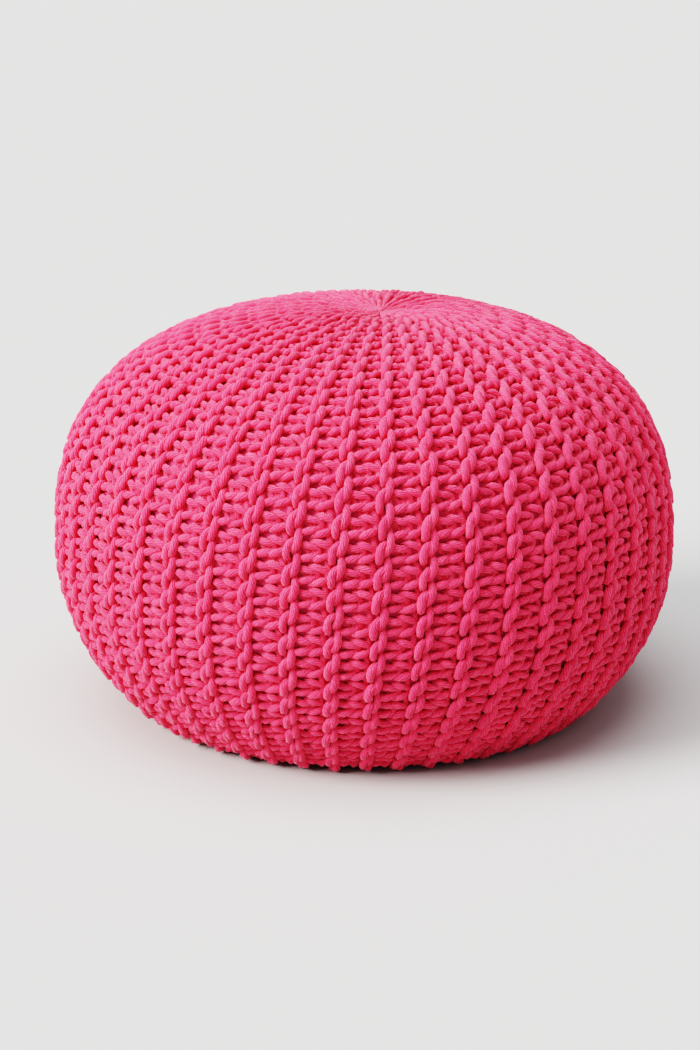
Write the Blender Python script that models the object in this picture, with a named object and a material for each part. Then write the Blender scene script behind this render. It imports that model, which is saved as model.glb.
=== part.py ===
"""Knitted pouf: a filled round cushion in thick ribbed knit.

The knit runs in upright ribs from a gather on top, over the round side, down
to a flat base.  The whole pouf is one soft body, so it is one closed solid:
the filled form with its ribs raised on it.  Units are metres, +Z is up, and
the origin is the middle of the flat base.
"""

import math

import bpy

# Body: a flattened round form, wider than it is tall.
RADIUS = 0.275            # from the axis to the crest of a rib, at the widest
CROWN_HEIGHT = 0.2065     # from the widest level up to the top
CROWN_POWER = 2.62        # how square the shoulder is; 2 would be an ellipse
KEEL_DEPTH = 0.2126       # depth of the lower curve before the floor cuts it
KEEL_POWER = 2.03
FLOOR_DEPTH = 0.1455      # from the widest level down to the floor
FLOOR_EDGE_POWER = 60     # how sharply the side turns into the flat base
BASE_OVERRUN = 1.06       # the lower curve is followed this far past the floor

# Knit: upright ribs, a raised column of stitches with a sunken band between.
RIB_COUNT = 50
RIB_RELIEF = 0.006        # crest of a rib above the sunken band
FULL_RELIEF_FROM = 0.090  # nearer the gather than this, the ribs grow lower
RIB_CREST_SHARE = 0.34    # width of the flat crest, as a share of the rib pitch
RIB_FOOT_SHARE = 0.60     # width at the foot of a rib, as the same share
RIB_PHASE = math.radians(2.15)      # the front rib stands this far to +X
RIB_PHASE_ARC = 0.38                # measured at this distance from the gather
RIB_TWIST = math.radians(-11.9)     # turn of a rib for each metre down the side
FRONT_SPREAD_TOP = 0.32   # ribs lie wider apart in front, near the top
SPREAD_FADES_OVER = 0.27  # and this drops to a third in this distance down

# Gather: the ribs meet in a shallow dimple a little off the middle.
GATHER_X = 0.014
GATHER_Y = 0.028
GATHER_REACH = 0.20       # the rows of knit are centred again this far out
DIMPLE_DEPTH = 0.008
DIMPLE_RADIUS = 0.040
GATHER_HOLE = 0.020       # the pleats close over within this radius

# Mesh resolution.
PROFILE_STEPS = 400
RING_COUNT = 24
EDGE_RINGS = 3            # of these, rings set close together at the base edge
EDGE_BAND = 0.024         # width of the band that holds them


def crown_height(radius):
    """Height of the upper surface above the widest level."""
    share = min(radius / RADIUS, 1.0)
    return CROWN_HEIGHT * (1.0 - share ** CROWN_POWER) ** (1.0 / CROWN_POWER)


def crown_points():
    """Half of the outline from the top of the pouf to its widest level."""
    for step in range(PROFILE_STEPS):
        angle = 0.5 * math.pi * step / PROFILE_STEPS
        radius = RADIUS * math.sin(angle) ** (2.0 / CROWN_POWER)
        yield radius, crown_height(radius)


def keel_points():
    """The outline from the widest level down to the flat base."""
    lowest = math.asin((BASE_OVERRUN * FLOOR_DEPTH / KEEL_DEPTH) ** (KEEL_POWER / 2.0))
    for step in range(PROFILE_STEPS + 1):
        angle = lowest * step / PROFILE_STEPS
        radius = RADIUS * math.cos(angle) ** (2.0 / KEEL_POWER)
        depth = KEEL_DEPTH * math.sin(angle) ** (2.0 / KEEL_POWER)
        yield radius, -soften_to_floor(depth)


def soften_to_floor(depth):
    """Bend the lower curve into the floor over a small soft edge."""
    if depth <= 0.0:
        return 0.0
    blended = depth ** -FLOOR_EDGE_POWER + FLOOR_DEPTH ** -FLOOR_EDGE_POWER
    return blended ** (-1.0 / FLOOR_EDGE_POWER)


def outline_with_arcs():
    """The outline as (arc from the top, radius, height) rows."""
    rows = []
    arc = 0.0
    for radius, height in list(crown_points()) + list(keel_points()):
        if rows:
            arc += math.hypot(radius - rows[-1][1], height - rows[-1][2])
        rows.append((arc, radius, height))
    return rows


OUTLINE = outline_with_arcs()
BASE_ARC = OUTLINE[-1][0]
BASE_RADIUS = OUTLINE[-1][1]
CROWN = OUTLINE[:PROFILE_STEPS + 1]


def read_between(rows, key, value, column):
    """Read one column where another, rising, column has the given value."""
    for before, after in zip(rows, rows[1:]):
        if value <= after[key]:
            share = (value - before[key]) / max(after[key] - before[key], 1e-12)
            return before[column] + share * (after[column] - before[column])
    return rows[-1][column]


def outline_at(arc):
    """Radius, height and outward normal of the outline at an arc length."""
    radius = read_between(OUTLINE, 0, arc, 1)
    height = read_between(OUTLINE, 0, arc, 2)
    step = 0.002
    low = max(arc - step, 0.0)
    high = min(arc + step, BASE_ARC)
    run = read_between(OUTLINE, 0, high, 1) - read_between(OUTLINE, 0, low, 1)
    rise = read_between(OUTLINE, 0, high, 2) - read_between(OUTLINE, 0, low, 2)
    length = math.hypot(run, rise)
    return radius, height, -rise / length, run / length


def smooth_step(share):
    share = min(max(share, 0.0), 1.0)
    return share * share * (3.0 - 2.0 * share)


def rib_longitude(rib, arc):
    """Direction of a rib, from the front (-Y) towards +X, at an arc length."""
    even = 2.0 * math.pi * rib / RIB_COUNT
    even += RIB_PHASE + RIB_TWIST * (arc - RIB_PHASE_ARC)
    spread = FRONT_SPREAD_TOP * math.exp(-arc / SPREAD_FADES_OVER)
    return even + spread * math.sin(even)


def surface_point(rib, arc, depth):
    """Point of the knit, the given depth under the crests of the ribs."""
    ring_radius = read_between(OUTLINE, 0, arc, 1)
    depth *= min(ring_radius / FULL_RELIEF_FROM, 1.0)
    longitude = rib_longitude(rib, arc)
    off_centre = 1.0 - smooth_step(arc / GATHER_REACH)
    plan_x = GATHER_X * off_centre + ring_radius * math.sin(longitude)
    plan_y = GATHER_Y * off_centre - ring_radius * math.cos(longitude)
    plan_radius = math.hypot(plan_x, plan_y)
    own_arc = arc
    if arc < GATHER_REACH:
        own_arc = read_between(CROWN, 1, plan_radius, 0)
    radius, height, normal_out, normal_up = outline_at(own_arc)
    depth += DIMPLE_DEPTH * math.exp(-(ring_radius / DIMPLE_RADIUS) ** 2)
    reach = (radius - depth * normal_out) / max(plan_radius, 1e-9)
    return plan_x * reach, plan_y * reach, height - depth * normal_up + FLOOR_DEPTH


def rib_columns():
    """The mesh columns round the pouf as (rib position, depth) pairs."""
    for rib in range(RIB_COUNT):
        yield rib - 0.5 * RIB_CREST_SHARE, 0.0
        yield rib + 0.5 * RIB_CREST_SHARE, 0.0
        yield rib + 0.5 * RIB_FOOT_SHARE, RIB_RELIEF
        yield rib + 1.0 - 0.5 * RIB_FOOT_SHARE, RIB_RELIEF


def ring_arcs():
    """Arc lengths of the mesh rings, closer together at the base edge."""
    side_rings = RING_COUNT - EDGE_RINGS
    side_end = BASE_ARC - EDGE_BAND
    for ring in range(side_rings):
        yield GATHER_HOLE + (side_end - GATHER_HOLE) * ring / (side_rings - 1)
    for ring in range(1, EDGE_RINGS + 1):
        yield side_end + EDGE_BAND * ring / EDGE_RINGS


def base_point(rib, depth):
    """Point on the flat base's rim, which follows the ribs."""
    longitude = rib_longitude(rib, BASE_ARC)
    reach = BASE_RADIUS - depth
    return reach * math.sin(longitude), -reach * math.cos(longitude), 0.0


def pouf_mesh():
    """Rings of points from the gather to the rim, with the flat base below."""
    columns = list(rib_columns())
    arcs = list(ring_arcs())
    points = []
    for arc in arcs[:-1]:
        points += [surface_point(rib, arc, depth) for rib, depth in columns]
    points += [base_point(rib, depth) for rib, depth in columns]
    faces = []
    count = len(columns)
    for ring in range(len(arcs) - 1):
        for column in range(count):
            beside = (column + 1) % count
            upper = ring * count
            lower = upper + count
            faces.append((upper + column, lower + column, lower + beside, upper + beside))
    gather = len(points)
    points.append(surface_point(0.0, 0.0, 0.0))
    faces += [(gather, column, (column + 1) % count) for column in range(count)]
    rim = (len(arcs) - 1) * count
    faces.append(tuple(rim + column for column in reversed(range(count))))
    mesh = bpy.data.meshes.new("knit_pouf")
    mesh.from_pydata(points, [], faces)
    mesh.update()
    return mesh


def cotton_knit():
    """Matt raspberry-pink cotton."""
    material = bpy.data.materials.new("pink_cotton")
    material.use_nodes = True
    shader = material.node_tree.nodes["Principled BSDF"]
    shader.inputs["Base Color"].default_value = (0.80, 0.045, 0.165, 1.0)
    shader.inputs["Roughness"].default_value = 0.9
    shader.inputs["Metallic"].default_value = 0.0
    return material


def build():
    for old in list(bpy.data.objects):
        bpy.data.objects.remove(old)
    mesh = pouf_mesh()
    mesh.materials.append(cotton_knit())
    mesh.shade_smooth()
    pouf = bpy.data.objects.new("knit_pouf", mesh)
    bpy.context.scene.collection.objects.link(pouf)


build()
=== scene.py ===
"""Looks of the knitted pouf: every course of the knit as its own looped yarn.

The cover is knitted in the round from one thick cotton yarn: 50 ribs of knit
stitches, with two purl stitches between each pair.  The yarn is laid out in
"knit space" (place round the ribs, courses down from the gather, depth under
the crests), which is then wrapped on the same outline as the CAD solid.
Units are metres, +Z is up and the front is -Y.
"""

import math
from collections import namedtuple

import bpy
import numpy as np
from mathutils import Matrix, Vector


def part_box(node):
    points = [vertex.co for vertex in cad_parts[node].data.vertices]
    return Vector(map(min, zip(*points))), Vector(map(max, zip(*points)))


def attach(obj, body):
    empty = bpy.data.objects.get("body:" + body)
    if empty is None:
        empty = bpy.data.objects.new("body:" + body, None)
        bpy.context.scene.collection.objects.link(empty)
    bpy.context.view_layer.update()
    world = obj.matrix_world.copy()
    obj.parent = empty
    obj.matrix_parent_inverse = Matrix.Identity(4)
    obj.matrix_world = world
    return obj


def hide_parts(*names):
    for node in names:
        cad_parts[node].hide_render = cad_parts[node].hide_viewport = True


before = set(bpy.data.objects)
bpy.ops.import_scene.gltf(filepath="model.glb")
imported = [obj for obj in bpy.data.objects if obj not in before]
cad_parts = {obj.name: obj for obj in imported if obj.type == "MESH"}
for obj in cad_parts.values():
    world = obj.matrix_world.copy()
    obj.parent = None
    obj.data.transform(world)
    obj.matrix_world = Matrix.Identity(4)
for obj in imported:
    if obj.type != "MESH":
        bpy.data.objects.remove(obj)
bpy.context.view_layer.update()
LOWEST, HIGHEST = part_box("knit_pouf")
MILLIMETRE = 0.001
SEED = 11

# Outline of the pouf, as in the solid: its width is read from the frame.
RADIUS = (HIGHEST.x - LOWEST.x) / 2
CROWN_HEIGHT = 0.751 * RADIUS     # from the widest level up to the top
CROWN_POWER = 2.62                # how square the shoulder is; 2 would be an ellipse
KEEL_DEPTH = 0.773 * RADIUS       # depth of the lower curve before the floor cuts it
KEEL_POWER = 2.03
FLOOR_DEPTH = 0.529 * RADIUS      # from the widest level down to the floor
FLOOR_EDGE_POWER = 60             # how sharply the side turns into the flat base
BASE_OVERRUN = 1.06               # the lower curve is followed this far past the floor
NORMAL_REACH = 8 * MILLIMETRE     # normals are averaged this far either way

# Layout of the ribs, as in the solid.
RIB_COUNT = 50
RIB_PHASE = math.radians(2.15)    # the front rib stands this far to +X
RIB_PHASE_ARC = 0.38              # measured at this distance from the gather
RIB_TWIST = math.radians(-11.9)   # turn of a rib for each metre down the side
FRONT_SPREAD_TOP = 0.32           # ribs lie wider apart in front, near the top
SPREAD_FADES_OVER = 0.27          # and this drops to a third in this distance down
GATHER_X = 0.014                  # the gather is this far off the middle
GATHER_Y = 0.028
GATHER_REACH = 0.20               # the courses are centred again this far out
DIMPLE_DEPTH = 8 * MILLIMETRE
DIMPLE_RADIUS = 40 * MILLIMETRE

# Courses: rows of stitches, numbered down from the gather.
FIRST_GROOVE = 3.2 * MILLIMETRE   # arc of the dark groove over course 0
CROWN_COURSE = 22.6 * MILLIMETRE  # height of a course on the top and shoulder
SIDE_COURSE = 20.2 * MILLIMETRE   # and on the side and base
TIGHTER_FROM = 14                 # which starts at this course
COURSE_LEAN = 0.019               # they hang lower to the right, as a share of the arc
FIRST_COURSE = 1                  # the pleats close the cover above it
SIDE_COURSES = 26                 # from the gather round to the base edge
COURSES_A_PIECE = 5
BASE_COURSES = 9

# Yarn.
YARN_RADIUS = 3.1 * MILLIMETRE
YARN_SIDES = 7
BASE_YARN_SIDES = 5
FULL_YARN_PITCH = 24 * MILLIMETRE  # the yarn is squeezed where the ribs are closer
SQUEEZE_POWER = 0.42              # 0 is not at all, 1 is in step with the rib pitch

# Ribs: half the width of a column of knit stitches, as a share of the rib pitch.
RIB_HALF = 0.245
CROWDED_RIB_HALF = 0.42           # the same where the ribs crowd together
CROWDED_FROM = 20 * MILLIMETRE    # rib pitch at which the crowding starts
CROWDED_BAND = 13 * MILLIMETRE    # and how much closer they are where it is full

# Ground: the filled cover behind the loops.
GROUND_DEPTH = 8.8 * MILLIMETRE   # under the crests
GROUND_COLUMNS = 100
GROUND_RINGS = 60
GROUND_POLE_GAP = 2 * MILLIMETRE  # its first and last rings are this far from the middle
GROUND_SQUEEZE_POWER = 0.45       # it rises with the squeezed yarn
GROUND_LEAST_PITCH = 0.1          # down to this share of FULL_YARN_PITCH

# Unevenness of the hand knitting, strand by strand, as standard deviations.
UNEVEN_ACROSS = 0.016             # shares of the rib pitch
UNEVEN_DOWN = 0.028               # shares of a course
UNEVEN_DEPTH = 0.45 * MILLIMETRE
UNEVEN_THICKNESS = 0.05
UNEVEN_LUMPS = 0.045              # thick and thin places along the yarn itself

# Gather: near it every second rib is tucked under, and pleats close the middle.
TUCK_FROM = 10 * MILLIMETRE       # rib pitch at which the tucking starts
TUCK_BAND = 5 * MILLIMETRE        # and how much closer they are where it is full
TUCK_DEPTH = 4 * MILLIMETRE       # how much deeper a tucked rib lies
SLIP = 0.26                       # ribs slip along each other here, in courses
SLIP_REACH = 160 * MILLIMETRE     # and lie level again this far from the gather
GATHER_HOLE = 3 * MILLIMETRE      # the pleats start this far from the middle
PLEAT_REACH = 28 * MILLIMETRE     # and end this far from it
PLEAT_STEPS = 14
PLEAT_OVERLAP = 1.1               # radius of a pleat, as a share of the rib pitch
PLEAT_RADIUS = 4.2 * MILLIMETRE   # but never more than this
PLEAT_SINKS_FROM = 0.5            # share of its length at which a pleat starts to sink
PLEAT_END_DEPTH = 6 * MILLIMETRE  # and how much deeper its outer end is
UNEVEN_PLEAT_END = 0.3            # how far the outer ends stray, in rib pitches
UNEVEN_PLEAT_THICKNESS = 0.12     # both are standard deviations


def smooth_step(share):
    """A share held between 0 and 1, and eased at both ends."""
    share = np.clip(share, 0.0, 1.0)
    return share * share * (3.0 - 2.0 * share)


# --- the outline ---------------------------------------------------------------------

Outline = namedtuple("Outline", "arc radius height base_arc crown_end")


def make_outline(steps=600):
    """The outline from the gather down the side and in under the flat base."""
    turn = np.linspace(0.0, math.pi / 2, steps, endpoint=False)
    crown_radius = RADIUS * np.sin(turn) ** (2 / CROWN_POWER)
    crown_share = 1.0 - (crown_radius / RADIUS) ** CROWN_POWER
    crown_height = CROWN_HEIGHT * crown_share ** (1 / CROWN_POWER)
    start = 1e-4    # a little below the widest level, where the depth isn't nought
    lowest = math.asin((BASE_OVERRUN * FLOOR_DEPTH / KEEL_DEPTH) ** (KEEL_POWER / 2))
    turn = np.linspace(start, lowest, steps)
    keel_radius = RADIUS * np.cos(turn) ** (2 / KEEL_POWER)
    keel_depth = KEEL_DEPTH * np.sin(turn) ** (2 / KEEL_POWER)
    edge = keel_depth ** -FLOOR_EDGE_POWER + FLOOR_DEPTH ** -FLOOR_EDGE_POWER
    keel_depth = edge ** (-1 / FLOOR_EDGE_POWER)
    base_radius = np.linspace(keel_radius[-1], 0.0, steps)[1:]
    radius = np.concatenate([crown_radius, keel_radius, base_radius])
    height = np.concatenate([crown_height, -keel_depth, np.full(steps - 1, -keel_depth[-1])])
    arc = np.concatenate([[0.0], np.cumsum(np.hypot(np.diff(radius), np.diff(height)))])
    return Outline(arc, radius, height, arc[2 * steps - 1], steps)


OUTLINE = make_outline()


def outline_at(arc):
    """Radius, height and the outward normal of the outline."""
    radius = np.interp(arc, OUTLINE.arc, OUTLINE.radius)
    height = np.interp(arc, OUTLINE.arc, OUTLINE.height)
    above = np.maximum(arc - NORMAL_REACH, 0.0)
    below = arc + NORMAL_REACH
    run, rise = (
        np.interp(below, OUTLINE.arc, column) - np.interp(above, OUTLINE.arc, column)
        for column in (OUTLINE.radius, OUTLINE.height)
    )
    length = np.maximum(np.hypot(run, rise), 1e-9)
    return radius, height, -rise / length, run / length


def rib_longitude(rib, arc):
    """Direction of a rib from the front (-Y) towards +X, and the pitch's share of an even one."""
    held_arc = np.minimum(arc, OUTLINE.base_arc)
    even = 2 * math.pi * rib / RIB_COUNT + RIB_PHASE + RIB_TWIST * (held_arc - RIB_PHASE_ARC)
    spread = FRONT_SPREAD_TOP * np.exp(-held_arc / SPREAD_FADES_OVER)
    return even + spread * np.sin(even), 1 + spread * np.cos(even)


def on_pouf(rib, arc, depth):
    """Wrap knit space on the pouf: points, and the outward normals there."""
    ring_radius = np.interp(arc, OUTLINE.arc, OUTLINE.radius)
    longitude, _ = rib_longitude(rib, arc)
    off_centre = 1 - smooth_step(arc / GATHER_REACH)
    plan_x = GATHER_X * off_centre + ring_radius * np.sin(longitude)
    plan_y = GATHER_Y * off_centre - ring_radius * np.cos(longitude)
    plan_radius = np.maximum(np.hypot(plan_x, plan_y), 1e-6)
    crown = slice(0, OUTLINE.crown_end)
    crown_arc = np.interp(plan_radius, OUTLINE.radius[crown], OUTLINE.arc[crown])
    own_arc = np.where(arc < GATHER_REACH, crown_arc, arc)
    radius, height, normal_out, normal_up = outline_at(own_arc)
    dimple = DIMPLE_DEPTH * np.exp(-(ring_radius / DIMPLE_RADIUS) ** 2)
    depth = depth + np.where(arc < GATHER_REACH, dimple, 0.0)
    reach = (radius - depth * normal_out) / plan_radius
    up = height - depth * normal_up + FLOOR_DEPTH
    points = np.stack([plan_x * reach, plan_y * reach, up], axis=-1)
    east = plan_x / plan_radius
    north = plan_y / plan_radius
    normals = np.stack([east * normal_out, north * normal_out, normal_up], axis=-1)
    return points, normals


def course_arc(course):
    """Arc from the gather to a course's groove; courses are tighter lower down."""
    crown = np.minimum(course, TIGHTER_FROM)
    return FIRST_GROOVE + CROWN_COURSE * crown + SIDE_COURSE * (course - crown)


def leaned_arc(rib, arc):
    """The arc of a course at a rib: the courses hang lower on the right than on the left."""
    longitude, _ = rib_longitude(rib, arc)
    under = smooth_step((arc - OUTLINE.base_arc) / (OUTLINE.arc[-1] - OUTLINE.base_arc))
    return arc * (1 + COURSE_LEAN * (1 - under) * np.sin(longitude))


# --- the stitch ----------------------------------------------------------------------

# One repeat of the yarn, in order along it: a knit stitch and two purl stitches.
# "across" is in hundredths of the rib pitch from the middle of the rib, "down" is in
# hundredths of a course from the groove, depths are millimetres under the crest.
# A strand shows, and a link is a hidden point between strands.  A strand's points are
# (across, down, depth), and its thickness is a share of YARN_RADIUS.
Strand = namedtuple("Strand", "thickness steps points")
Link = namedtuple("Link", "across down depth")

LEFT_LOBE = ((-6.5, -15, 9.4), (-8.5, -24, 3.5), (-9, -48, 3.3), (-6.5, -73, 3.3), (4, -91, 4.4))
RIGHT_LOBE = ((8, -38, 8.2), (11.5, -18, 4.3), (12, 4, 3.3), (9.5, 26, 3.4), (2, 46, 4.8))

REPEAT = (
    Strand(1.10, 7, LEFT_LOBE),
    Link(across=8, down=-88, depth=9.8),
    Link(across=10, down=-62, depth=10.5),
    Strand(1.12, 7, RIGHT_LOBE),
    Link(across=0, down=62, depth=10),
    Strand(1.05, 5, ((11, 84, 8.8), (32, 71, 5.3), (53, 64, 7.8))),
    Link(across=56, down=30, depth=10.8),
    Link(across=38, down=-40, depth=10.8),
    Strand(0.98, 5, ((12, -86, 8.4), (34, -75, 5.5), (56, -71, 8.0))),
    Link(across=62, down=-25, depth=10.8),
    Link(across=46, down=45, depth=10.8),
    Strand(1.05, 5, ((44, 84, 7.8), (64, 71, 5.3), (85, 57, 8.2))),
    Link(across=79, down=-4, depth=9.4),
    Link(across=62, down=-45, depth=10.8),
    Strand(0.98, 5, ((42, -94, 8.0), (63, -86, 5.5), (85, -71, 8.2))),
    Link(across=91, down=-38, depth=10.5),
)
END_SHARE = 0.94       # thickness of a strand's ends, as a share of its middle
LINK_SHARE = 0.96      # thickness of a link, as a share of YARN_RADIUS


def strand_rows(strand, number):
    """Rows on a smooth curve through a strand's points, with thickness, lift and number."""
    # The curve is a Catmull-Rom spline, and "lift" is 1 in the strand's middle.
    places = np.array(strand.points, float)
    spans = len(places) - 1
    before = 2 * places[0] - places[1]
    after = 2 * places[-1] - places[-2]
    knots = np.vstack([before, places, after])
    for share in np.linspace(0.0, 1.0, strand.steps):
        span = min(int(share * spans), spans - 1)
        t = share * spans - span
        a, b, c, d = knots[span:span + 4]
        bend = (2 * a - 5 * b + 4 * c - d) + (3 * b - a - 3 * c + d) * t
        across, down, depth = b + (c - a) * t / 2 + bend * t * t / 2
        lift = math.sin(math.pi * share)
        thickness = strand.thickness * (END_SHARE + (1 - END_SHARE) * lift)
        yield across, down, depth, thickness, lift, number


def repeat_rows():
    """One repeat of the yarn as (across, down, depth, thickness, lift, number) rows."""
    for number, item in enumerate(REPEAT):
        if isinstance(item, Strand):
            yield from strand_rows(item, number)
        else:
            yield item.across, item.down, item.depth, LINK_SHARE, 0.0, number


def crowd(across, pitch):
    """Make room for the rib where the ribs crowd together near the gather."""
    crowded = smooth_step((CROWDED_FROM - pitch) / CROWDED_BAND)
    wanted = RIB_HALF + (CROWDED_RIB_HALF - RIB_HALF) * crowded
    nearest = np.round(across)
    offset = across - nearest
    size = np.abs(offset)
    inside = size * wanted / RIB_HALF
    outside = wanted + (size - RIB_HALF) * (0.5 - wanted) / (0.5 - RIB_HALF)
    return nearest + np.sign(offset) * np.where(size < RIB_HALF, inside, outside)


def rib_pitch(rib, arc):
    """Distance between neighbouring ribs at an arc."""
    _, even_share = rib_longitude(rib, arc)
    ring_radius = np.interp(arc, OUTLINE.arc, OUTLINE.radius)
    return ring_radius * 2 * math.pi / RIB_COUNT * even_share


def yarn_paths(courses, rows, rib_slips, random):
    """Centre lines, outward normals, radii and tones of the yarn, one closed loop a course."""
    across, down, depth, thickness, lift, number = np.array(rows).T
    ribs = np.arange(RIB_COUNT)[None, :, None]
    numbers = np.asarray(courses, float)[:, None, None]
    loops = len(courses)
    uneven = random.normal(size=(5, loops, RIB_COUNT, len(REPEAT)))[..., number.astype(int)]
    uneven_across, uneven_down, uneven_depth, uneven_thickness, tone = uneven
    pitch = rib_pitch(ribs, course_arc(numbers))
    tucked = smooth_step((TUCK_FROM - pitch) / TUCK_BAND)
    shows = ribs % 2 == 0
    size = np.clip(pitch * (1 + tucked * shows) / FULL_YARN_PITCH, 0.0, 1.0) ** SQUEEZE_POWER
    rib = ribs + crowd(across / 100, pitch) + UNEVEN_ACROSS * uneven_across
    slip = rib_slips[:, None] * smooth_step((SLIP_REACH - course_arc(numbers)) / SLIP_REACH)
    course = numbers + down / 100 + UNEVEN_DOWN * uneven_down + slip
    sunk = depth * MILLIMETRE * size + UNEVEN_DEPTH * uneven_depth * lift
    sunk = sunk + TUCK_DEPTH * tucked * ~shows
    points, normals = on_pouf(rib, leaned_arc(rib, course_arc(course)), sunk)
    lumps = UNEVEN_LUMPS * random.normal(size=rib.shape)
    radii = YARN_RADIUS * thickness * size * (1 + UNEVEN_THICKNESS * uneven_thickness + lumps)
    return (
        points.reshape(loops, -1, 3),
        normals.reshape(loops, -1, 3),
        radii.reshape(loops, -1),
        tone.reshape(loops, -1),
    )


def pleat_paths(arcs, random):
    """The same of the pleats that close the knit over a gather, from its middle outwards."""
    pleats = RIB_COUNT // 2
    shape = (pleats, len(arcs))
    uneven_end, uneven_thickness, tone = random.normal(size=(3, pleats, 1))
    share = np.linspace(0.0, 1.0, len(arcs))
    stray = UNEVEN_PLEAT_END * uneven_end * share
    rib = np.broadcast_to(2.0 * np.arange(pleats)[:, None] + stray, shape)
    arc = np.broadcast_to(arcs, shape)
    thickest = PLEAT_RADIUS * (1 + UNEVEN_PLEAT_THICKNESS * uneven_thickness)
    radii = np.minimum(PLEAT_OVERLAP * rib_pitch(rib, arc), thickest)
    outward = (share - PLEAT_SINKS_FROM) / (1 - PLEAT_SINKS_FROM)
    sunk = radii + PLEAT_END_DEPTH * smooth_step(outward)
    points, normals = on_pouf(rib, arc, sunk)
    return points, normals, radii, np.broadcast_to(tone, shape)


# --- meshes --------------------------------------------------------------------------

def unit(vectors):
    """The same directions, with a length of 1."""
    return vectors / np.maximum(np.linalg.norm(vectors, axis=-1, keepdims=True), 1e-9)


def carry(side, tangent, next_tangent):
    """Turn a vector square to the yarn by the smallest turn to its next direction."""
    ahead = np.sum(side * next_tangent, axis=-1, keepdims=True)
    bend = 1 + np.sum(tangent * next_tangent, axis=-1, keepdims=True)
    return unit(side - ahead / np.maximum(bend, 1e-6) * (tangent + next_tangent))


def untwisted_sides(tangent, normals, closed):
    """Vectors square to the yarn that turn with it, with no sudden twist at a bend."""
    steps = tangent.shape[1]
    side = np.empty_like(tangent)
    side[:, 0] = unit(np.cross(tangent[:, 0], normals[:, 0]))
    for step in range(1, steps):
        side[:, step] = carry(side[:, step - 1], tangent[:, step - 1], tangent[:, step])
    if not closed:
        return side
    # The twist left over after a whole loop is spread evenly along it.
    back = carry(side[:, -1], tangent[:, -1], tangent[:, 0])
    up = np.cross(side[:, 0], tangent[:, 0])
    gap = np.arctan2(np.sum(back * up, axis=-1), np.sum(back * side[:, 0], axis=-1))
    turn = -gap[:, None, None] * np.arange(steps)[:, None] / steps
    return side * np.cos(turn) + np.cross(side, tangent) * np.sin(turn)


def tube_quads(loops, steps, sides, spans):
    """The four-sided faces of the yarn, as numbers of points."""
    index = np.arange(loops * steps * sides).reshape(loops, steps, sides)
    next_step = np.roll(index, -1, axis=1)
    next_side = np.roll(index, -1, axis=2)
    opposite = np.roll(next_step, -1, axis=2)
    return np.stack([index, next_side, opposite, next_step], axis=-1)[:, :spans]


def tube_uvs(lengths, sides, spans):
    """UVs of the same faces' corners: turns round the yarn, and metres along it."""
    loops = len(lengths)
    along = np.concatenate([np.zeros((loops, 1)), np.cumsum(lengths, axis=1)], axis=1)
    u_low = np.broadcast_to(np.arange(sides) / sides, (loops, spans, sides))
    u_high = u_low + 1 / sides
    v_low = np.broadcast_to(along[:, :spans, None], (loops, spans, sides))
    v_high = np.broadcast_to(along[:, 1:spans + 1, None], (loops, spans, sides))
    u = np.stack([u_low, u_high, u_high, u_low], axis=-1)
    v = np.stack([v_low, v_low, v_high, v_high], axis=-1)
    return np.stack([u, v], axis=-1)


def tube_mesh(name, points, normals, radii, tone, sides, closed=True):
    """Lengths of yarn, closed loops or open, as one mesh with UVs round and along them."""
    loops, steps, _ = points.shape
    ahead = np.roll(points, -1, axis=1)
    behind = np.roll(points, 1, axis=1)
    spans = steps if closed else steps - 1
    if not closed:
        ahead[:, -1] = points[:, -1]
        behind[:, 0] = points[:, 0]
    tangent = unit(ahead - behind)
    side = untwisted_sides(tangent, normals, closed)
    up = np.cross(side, tangent)
    turn = 2 * math.pi * np.arange(sides) / sides
    ring = up[:, :, None] * np.cos(turn)[:, None] + side[:, :, None] * np.sin(turn)[:, None]
    vertices = points[:, :, None] + ring * radii[:, :, None, None]
    vertices[..., 2] = np.maximum(vertices[..., 2], 0.0)    # pressed flat on the floor
    quads = tube_quads(loops, steps, sides, spans)
    uvs = tube_uvs(np.linalg.norm(ahead - points, axis=-1), sides, spans)
    mesh = quad_mesh(name, vertices.reshape(-1, 3), quads.reshape(-1, 4))
    uv_layer = mesh.uv_layers.new(name="yarn")
    uv_layer.data.foreach_set("uv", uvs.astype(np.float32).ravel())
    tone_layer = mesh.attributes.new("tone", "FLOAT", "POINT")
    tone_layer.data.foreach_set("value", np.repeat(tone.ravel(), sides).astype(np.float32))
    return mesh


def quad_mesh(name, vertices, quads):
    """A smooth mesh from arrays of points and of four-sided faces."""
    mesh = bpy.data.meshes.new(name)
    mesh.vertices.add(len(vertices))
    mesh.vertices.foreach_set("co", vertices.astype(np.float32).ravel())
    mesh.loops.add(quads.size)
    mesh.loops.foreach_set("vertex_index", quads.astype(np.int32).ravel())
    mesh.polygons.add(len(quads))
    mesh.polygons.foreach_set("loop_start", np.arange(0, quads.size, 4, dtype=np.int32))
    mesh.update(calc_edges=True)
    mesh.shade_smooth()
    return mesh


def add_piece(mesh, material):
    """Add a piece of the cover, which takes the place of the solid."""
    piece = bpy.data.objects.new(mesh.name, mesh)
    bpy.context.scene.collection.objects.link(piece)
    mesh.materials.append(material)
    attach(piece, "root")
    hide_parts("knit_pouf")
    return piece


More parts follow.
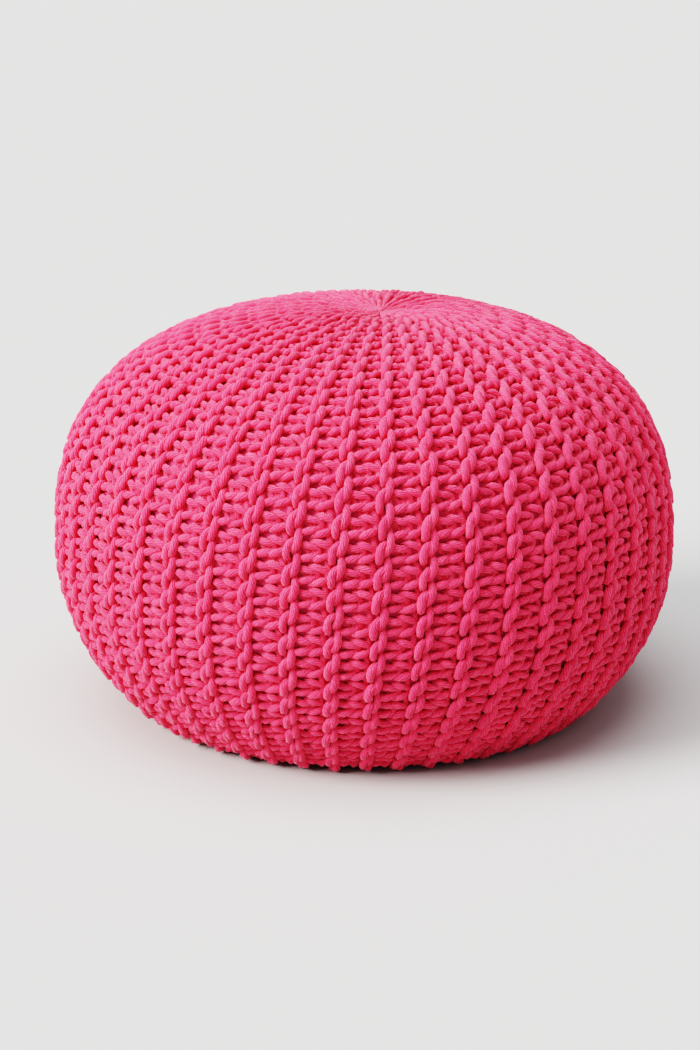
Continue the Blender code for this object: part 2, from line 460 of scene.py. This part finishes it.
def make_courses(material, random):
    """The knit of the top and side, a few courses in each piece."""
    rows = list(repeat_rows())
    rib_slips = SLIP * random.normal(size=RIB_COUNT)
    last = FIRST_COURSE + SIDE_COURSES
    for start in range(FIRST_COURSE, last, COURSES_A_PIECE):
        courses = range(start, min(start + COURSES_A_PIECE, last))
        name = f"knit_courses_{courses[0]}_to_{courses[-1]}"
        paths = yarn_paths(courses, rows, rib_slips, random)
        add_piece(tube_mesh(name, *paths, YARN_SIDES), material)


def make_underside(material, random):
    """The knit under the base, which is out of sight, in half as many points."""
    rows = list(repeat_rows())[::2]
    first = FIRST_COURSE + SIDE_COURSES
    courses = range(first, first + BASE_COURSES)
    no_slips = np.zeros(RIB_COUNT)
    paths = yarn_paths(courses, rows, no_slips, random)
    add_piece(tube_mesh("knit_underside", *paths, BASE_YARN_SIDES), material)


def make_gathers(material, random):
    """The pleats that close the knit on top and under the base."""
    steps = np.linspace(GATHER_HOLE, PLEAT_REACH, PLEAT_STEPS)
    top = pleat_paths(steps, random)
    base = pleat_paths(OUTLINE.arc[-1] - steps, random)
    add_piece(tube_mesh("knit_gather", *top, YARN_SIDES, closed=False), material)
    add_piece(tube_mesh("knit_base_gather", *base, YARN_SIDES, closed=False), material)


def make_ground(material):
    """The filled cover itself, behind the loops of yarn."""
    shape = (GROUND_RINGS, GROUND_COLUMNS)
    arcs = np.linspace(GROUND_POLE_GAP, OUTLINE.arc[-1] - GROUND_POLE_GAP, GROUND_RINGS)
    ribs = np.arange(GROUND_COLUMNS) * RIB_COUNT / GROUND_COLUMNS
    rib = np.broadcast_to(ribs, shape)
    arc = np.broadcast_to(arcs[:, None], shape)
    pitch_share = np.clip(rib_pitch(rib, arc) / FULL_YARN_PITCH, GROUND_LEAST_PITCH, 1.0)
    points, _ = on_pouf(rib, arc, GROUND_DEPTH * pitch_share ** GROUND_SQUEEZE_POWER)
    index = np.arange(GROUND_RINGS * GROUND_COLUMNS).reshape(shape)
    beside = np.roll(index, -1, axis=1)
    quads = np.stack([index[:-1], index[1:], beside[1:], beside[:-1]], axis=-1).reshape(-1, 4)
    faces = quads.tolist() + [index[0].tolist(), index[-1, ::-1].tolist()]
    mesh = bpy.data.meshes.new("knit_ground")
    mesh.from_pydata(points.reshape(-1, 3).tolist(), [], faces)
    mesh.shade_smooth()
    ground = add_piece(mesh, material)


# --- materials -----------------------------------------------------------------------

# Colours of the cotton and the shades they stand for, from painted shade in the creases
# between its plies to its lightest fibres.
# The darkest pink is mostly painted shade, put in the creases between the plies.
DARKEST_PINK_AND_CREASE_SHADE = (0.20, (0.33, 0.019, 0.074, 1.0))
MIDDLE_PINKS = (
    (0.60, (0.65, 0.031, 0.087, 1.0)),
    (0.88, (0.82, 0.042, 0.105, 1.0)),
)
LIGHTEST_PINK = (0.98, (0.94, 0.070, 0.142, 1.0))
SHADE_LIFT = 0.06                 # added to every shade
# The ground is darker than the yarn: painted shade in the pits between the loops.
GROUND_PINKS_WITH_PAINTED_SHADE = ((0.44, 0.030, 0.096, 1.0), (0.62, 0.048, 0.138, 1.0))
SHEEN_PINK = (1.0, 0.62, 0.74, 1.0)

# Fine pattern of the cotton.
PLIES = 9                         # strands twisted into the yarn
PLY_TURNS = 270.0                 # plies that pass a line along the yarn, in a metre
PLY_WANDER = 1.6                  # how far they stray, in widths of a ply
PLY_ROUNDNESS = 0.6               # power of a ply's section: a lower one is flatter on top
FIBRES_ROUND = 3.5                # how fine the streaks of fibre are round the yarn
FIBRES_ALONG = 90.0               # and along it
BUMP_HEIGHT = 0.6 * MILLIMETRE

# Scales of the noise in the cotton: a higher one is finer.
BLOTCH_SCALE = 60.0               # lighter and darker places
WANDER_SCALE = 160.0
CREASE_SHADE_SCALE = 220.0              # painted shade in the creases between the plies, darker in places
GROUND_SCALE = 350.0
FIBRE_SCALE = 650.0


def node(tree, kind, **settings):
    """Add a node to a material with its settings."""
    made = tree.nodes.new(kind)
    for name, value in settings.items():
        setattr(made, name, value)
    return made


def math_node(tree, operation, first, second=None):
    """One step of arithmetic on one or two values, each a number or a socket."""
    made = node(tree, "ShaderNodeMath", operation=operation)
    for socket, value in zip(made.inputs, (first, second)):
        if value is None:
            continue
        if isinstance(value, (int, float)):
            socket.default_value = value
        else:
            tree.links.new(value, socket)
    return made.outputs[0]


def noise_node(tree, vector, scale, detail=2.0):
    """Soft seamless noise between 0 and 1."""
    made = node(tree, "ShaderNodeTexNoise")
    made.inputs["Scale"].default_value = scale
    made.inputs["Detail"].default_value = detail
    tree.links.new(vector, made.inputs["Vector"])
    return made.outputs["Fac"]


def blend_sum(tree, *weighted):
    """Weighted sum of (socket, weight) pairs."""
    total = None
    for socket, weight in weighted:
        part = math_node(tree, "MULTIPLY", socket, weight)
        total = part if total is None else math_node(tree, "ADD", total, part)
    return total


def ply_section(tree, turned):
    """Height of the twisted plies, from 0 in a crease to 1 on a ply, by turns in plies."""
    wave = math_node(tree, "SINE", math_node(tree, "MULTIPLY", turned, math.pi))
    return math_node(tree, "POWER", math_node(tree, "ABSOLUTE", wave), PLY_ROUNDNESS)


def fibre_streaks(tree, turned, along):
    """Long streaks of fibre that follow the twist of the plies."""
    angle = math_node(tree, "MULTIPLY", turned, 2 * math.pi / PLIES)
    place = node(tree, "ShaderNodeCombineXYZ")
    for axis, operation in (("X", "COSINE"), ("Y", "SINE")):
        part = math_node(tree, operation, angle)
        tree.links.new(math_node(tree, "MULTIPLY", part, FIBRES_ROUND), place.inputs[axis])
    tree.links.new(math_node(tree, "MULTIPLY", along, FIBRES_ALONG), place.inputs["Z"])
    return noise_node(tree, place.outputs[0], 1.0, detail=3.0)


def pink_of_shade(tree, shade):
    """The cotton's colour at a shade, through the colours named above."""
    ramp = node(tree, "ShaderNodeValToRGB")
    for element, (position, colour) in zip((0, 1), (DARKEST_PINK_AND_CREASE_SHADE, LIGHTEST_PINK)):
        ramp.color_ramp.elements[element].position = position
        ramp.color_ramp.elements[element].color = colour
    for position, colour in MIDDLE_PINKS:
        ramp.color_ramp.elements.new(position).color = colour
    tree.links.new(shade, ramp.inputs["Fac"])
    return ramp.outputs["Color"]


def cotton_yarn():
    """Matt raspberry cotton: fine plies twisted along the yarn, with a little fuzz, and painted
    shade in the creases between the plies.
    """
    material = bpy.data.materials.new("pink_cotton_yarn")
    material.use_nodes = True
    tree = material.node_tree
    shader = tree.nodes["Principled BSDF"]
    shader.inputs["Roughness"].default_value = 0.85
    shader.inputs["Specular IOR Level"].default_value = 0.3
    shader.inputs["Sheen Weight"].default_value = 0.30
    shader.inputs["Sheen Roughness"].default_value = 0.4
    shader.inputs["Sheen Tint"].default_value = SHEEN_PINK

    uv = node(tree, "ShaderNodeUVMap", uv_map="yarn")
    axes = node(tree, "ShaderNodeSeparateXYZ")
    tree.links.new(uv.outputs["UV"], axes.inputs[0])
    across = axes.outputs["X"]
    along = axes.outputs["Y"]
    place = node(tree, "ShaderNodeTexCoord").outputs["Object"]
    wander = noise_node(tree, place, WANDER_SCALE)
    turned = blend_sum(tree, (across, PLIES), (along, PLY_TURNS), (wander, PLY_WANDER))
    ply = ply_section(tree, turned)
    streak = fibre_streaks(tree, turned, along)
    fibre = noise_node(tree, place, FIBRE_SCALE, detail=3.0)
    blotch = noise_node(tree, place, BLOTCH_SCALE)

    bump = node(tree, "ShaderNodeBump")
    bump.inputs["Strength"].default_value = 1.0
    bump.inputs["Distance"].default_value = BUMP_HEIGHT
    relief = blend_sum(tree, (ply, 0.8), (streak, 1.0), (fibre, 0.7))
    tree.links.new(relief, bump.inputs["Height"])
    tree.links.new(bump.outputs["Normal"], shader.inputs["Normal"])

    tone = node(tree, "ShaderNodeAttribute", attribute_name="tone").outputs["Fac"]
    # Painted shade: the colour is darker in the creases between the plies, more in some places than
    # in others.
    uneven = math_node(tree, "MULTIPLY", noise_node(tree, place, CREASE_SHADE_SCALE), 2.0)
    crease = math_node(tree, "MULTIPLY", math_node(tree, "SUBTRACT", 1.0, ply), uneven)
    shade = blend_sum(tree, (crease, -0.7), (streak, 0.6), (fibre, 0.9), (blotch, 0.3), (tone, 0.03))
    shade = math_node(tree, "ADD", shade, SHADE_LIFT)
    tree.links.new(pink_of_shade(tree, shade), shader.inputs["Base Color"])
    return material


def ground_cotton():
    """The same cotton, seen only between the loops, in darker pinks that are painted shade."""
    material = bpy.data.materials.new("pink_cotton_ground")
    material.use_nodes = True
    tree = material.node_tree
    shader = tree.nodes["Principled BSDF"]
    shader.inputs["Roughness"].default_value = 0.95
    place = node(tree, "ShaderNodeTexCoord").outputs["Object"]
    ramp = node(tree, "ShaderNodeValToRGB")
    for element, colour in zip(ramp.color_ramp.elements, GROUND_PINKS_WITH_PAINTED_SHADE):
        element.color = colour
    tree.links.new(noise_node(tree, place, GROUND_SCALE), ramp.inputs["Fac"])
    tree.links.new(ramp.outputs["Color"], shader.inputs["Base Color"])
    return material


# --- the studio ----------------------------------------------------------------------

FLOOR_HALF = 60.0                 # from the pouf to the floor's edge
FLOOR_GREY = (0.435, 0.425, 0.42, 1.0)

# Surround: its strength goes by the height of the direction looked in, which is 0 on
# the horizon and 1 straight up or down.
SURROUND_COLOUR = (0.95, 0.98, 1.0, 1.0)
LOW_HEIGHT = 0.04                 # up to here it is as bright as the floor
LOW_STRENGTH = 0.84
HIGH_HEIGHT = 0.22                # and from here on it is dimmer
HIGH_STRENGTH = 0.35

# Soft lights: where they come from, how wide they look in degrees, strength and colour.
WINDOW_LIGHT = ((-3.4, -1.4, 2.3), 34.0, 4.4, (1.0, 0.98, 0.96))
CEILING_LIGHT = ((-0.4, -0.2, 3.2), 52.0, 2.0, (0.95, 0.99, 1.0))
EXPOSURE = 0.50

CAMERA_PLACE = (-0.0125, -2.2721, 0.8707)
CAMERA_DOWN = 17.5                # degrees below level
CAMERA_LENS = 91.5                # focal length in millimetres


def make_floor():
    """A plain pale floor, wide enough to fill the camera's view."""
    half = FLOOR_HALF
    corners = [(-half, -half, 0), (half, -half, 0), (half, half, 0), (-half, half, 0)]
    mesh = bpy.data.meshes.new("floor")
    mesh.from_pydata(corners, [], [(0, 1, 2, 3)])
    floor = bpy.data.objects.new("floor", mesh)
    bpy.context.scene.collection.objects.link(floor)
    material = bpy.data.materials.new("pale_floor")
    material.use_nodes = True
    shader = material.node_tree.nodes["Principled BSDF"]
    shader.inputs["Base Color"].default_value = FLOOR_GREY
    shader.inputs["Roughness"].default_value = 0.9
    mesh.materials.append(material)


def add_soft_light(name, place, width, strength, colour):
    """Soft light from far away in the direction of a place, even over the whole floor."""
    data = bpy.data.lights.new(name, "SUN")
    data.angle = math.radians(width)
    data.energy = strength
    data.color = colour
    light = bpy.data.objects.new(name, data)
    light.location = place
    light.rotation_euler = (-Vector(place)).to_track_quat("-Z", "Y").to_euler()
    bpy.context.scene.collection.objects.link(light)


def make_surround():
    """A pale surround, as bright along the horizon as the floor, so that the two run together."""
    world = bpy.data.worlds.new("studio")
    bpy.context.scene.world = world
    world.use_nodes = True
    tree = world.node_tree
    background = tree.nodes["Background"]
    background.inputs["Color"].default_value = SURROUND_COLOUR
    direction = node(tree, "ShaderNodeSeparateXYZ")
    tree.links.new(node(tree, "ShaderNodeTexCoord").outputs["Generated"], direction.inputs[0])
    height = math_node(tree, "ABSOLUTE", direction.outputs["Z"])
    fade = node(tree, "ShaderNodeMapRange")
    fade.inputs["From Min"].default_value = LOW_HEIGHT
    fade.inputs["From Max"].default_value = HIGH_HEIGHT
    fade.inputs["To Min"].default_value = LOW_STRENGTH
    fade.inputs["To Max"].default_value = HIGH_STRENGTH
    tree.links.new(height, fade.inputs["Value"])
    tree.links.new(fade.outputs["Result"], background.inputs["Strength"])


def make_lights():
    """A large window-like light from the left, and a soft light from above."""
    add_soft_light("window", *WINDOW_LIGHT)
    add_soft_light("ceiling", *CEILING_LIGHT)


def set_view():
    """The view transform that the colours are set for."""
    view = bpy.context.scene.view_settings
    view.view_transform = "Filmic"
    view.look = "Very High Contrast"
    view.exposure = EXPOSURE


def make_camera():
    """The photograph's viewpoint: a little above, looking down on the pouf."""
    data = bpy.data.cameras.new("camera")
    data.lens = CAMERA_LENS
    camera = bpy.data.objects.new("camera", data)
    camera.location = CAMERA_PLACE
    camera.rotation_euler = (math.radians(90.0 - CAMERA_DOWN), 0.0, 0.0)
    bpy.context.scene.collection.objects.link(camera)
    bpy.context.scene.camera = camera


def main():
    """Build the cover and the studio."""
    random = np.random.default_rng(SEED)
    yarn = cotton_yarn()
    make_courses(yarn, random)
    make_underside(yarn, random)
    make_gathers(yarn, random)
    make_ground(ground_cotton())
    make_floor()
    make_surround()
    make_lights()
    set_view()
    make_camera()


main()
